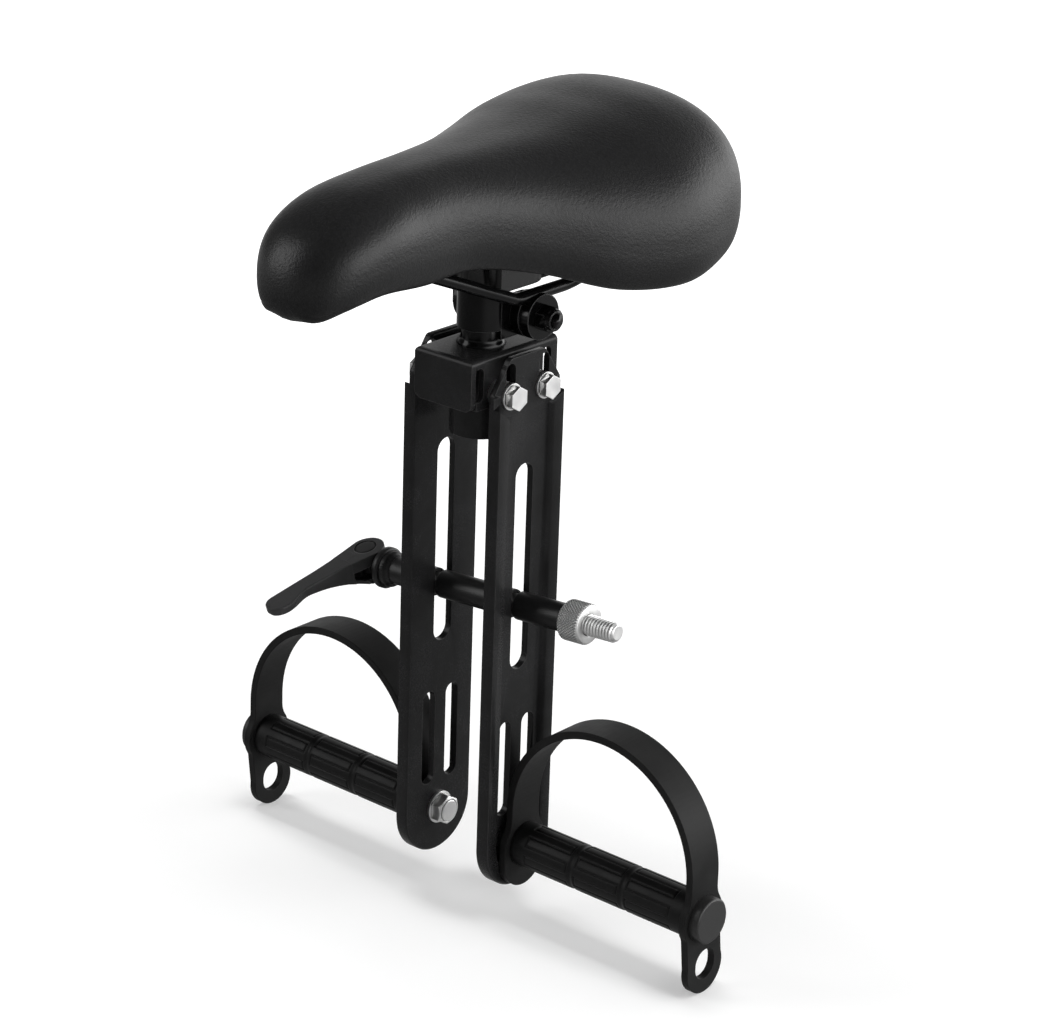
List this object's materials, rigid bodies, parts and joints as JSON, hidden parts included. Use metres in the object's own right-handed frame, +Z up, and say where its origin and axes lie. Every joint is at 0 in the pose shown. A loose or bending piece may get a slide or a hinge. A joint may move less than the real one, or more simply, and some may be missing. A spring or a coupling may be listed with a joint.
{
  "type": "child bike seat",
  "caption": "Small saddle on a short post over slotted legs that straddle a bicycle's top tube, with a cam-lever clamp rod and strapped foot pegs.",
  "frame": {"origin": "middle of the bicycle's top tube, between the legs", "axes": "+Z up, the saddle's nose points to -Y, and +X is the rider's left, where the knurled nut is"},
  "size_m": [0.2912, 0.246, 0.3856],
  "materials": {
    "coated_metal": "satin powder coat",
    "gloss_metal": "gloss black",
    "bright_steel": "zinc plated",
    "saddle_skin": "fine grained leatherette",
    "saddle_shell": "matt moulded",
    "strap_rubber": "matt",
    "grip_rubber": "matt ribbed",
    "cap_plastic": "satin"
  },
  "bodies": {
    "seat": {"cross_bolt": "bright_steel", "cross_nut": "bright_steel", "inner_rail_cheeks": "gloss_metal", "left_foot_strap": "strap_rubber", "left_leg": "coated_metal", "left_peg_bolt": "bright_steel", "left_peg_cap": "cap_plastic", "left_peg_core": "bright_steel", "left_peg_grip": "grip_rubber", "left_peg_nut": "bright_steel", "left_peg_spacer": "coated_metal", "left_peg_washer": "bright_steel", "leg_bolts": "bright_steel", "leg_spacers": "bright_steel", "leg_washers": "bright_steel", "outer_rail_cheeks": "gloss_metal", "rail_clamp_band": "gloss_metal", "receiver_tube": "coated_metal", "right_foot_strap": "strap_rubber", "right_leg": "coated_metal", "right_peg_bolt": "bright_steel", "right_peg_cap": "cap_plastic", "right_peg_core": "bright_steel", "right_peg_grip": "grip_rubber", "right_peg_nut": "bright_steel", "right_peg_spacer": "coated_metal", "right_peg_washer": "bright_steel", "saddle_base": "saddle_shell", "saddle_cover": "saddle_skin", "saddle_rails": "gloss_metal", "seat_post": "coated_metal", "top_bracket": "coated_metal"},
    "clamp_carriage": {"left_sleeve": "coated_metal", "middle_sleeve": "coated_metal", "right_sleeve": "coated_metal"},
    "clamp_spindle": {"clamp_rod": "bright_steel", "lever_pivot_pin": "bright_steel", "stepped_collar": "coated_metal", "thrust_washer": "coated_metal"},
    "lever": {"cam_lever": "coated_metal"},
    "nut": {"knurled_nut": "bright_steel"}
  },
  "joints": [
    {"name": "clamp_height", "type": "slide", "parent": "seat", "child": "clamp_carriage", "axis": [0, 0, 1], "range_m": [-0.021, 0.061]},
    {"name": "rod_turn", "type": "hinge", "parent": "clamp_carriage", "child": "clamp_spindle", "pos_m": [0, 0, -0.0295], "axis": [-0.9977, 0, -0.068], "range_deg": [-12, 215]},
    {"name": "cam_lever_swing", "type": "hinge", "parent": "clamp_spindle", "child": "lever", "pos_m": [-0.06974, 0, -0.03425], "axis": [0.0654, 0.2756, -0.959], "range_deg": [-10, 85]},
    {"name": "nut_turn", "type": "hinge", "parent": "clamp_spindle", "child": "nut", "pos_m": [0, 0, -0.0295], "axis": [-0.9977, 0, -0.068], "continuous": true}
  ]
}
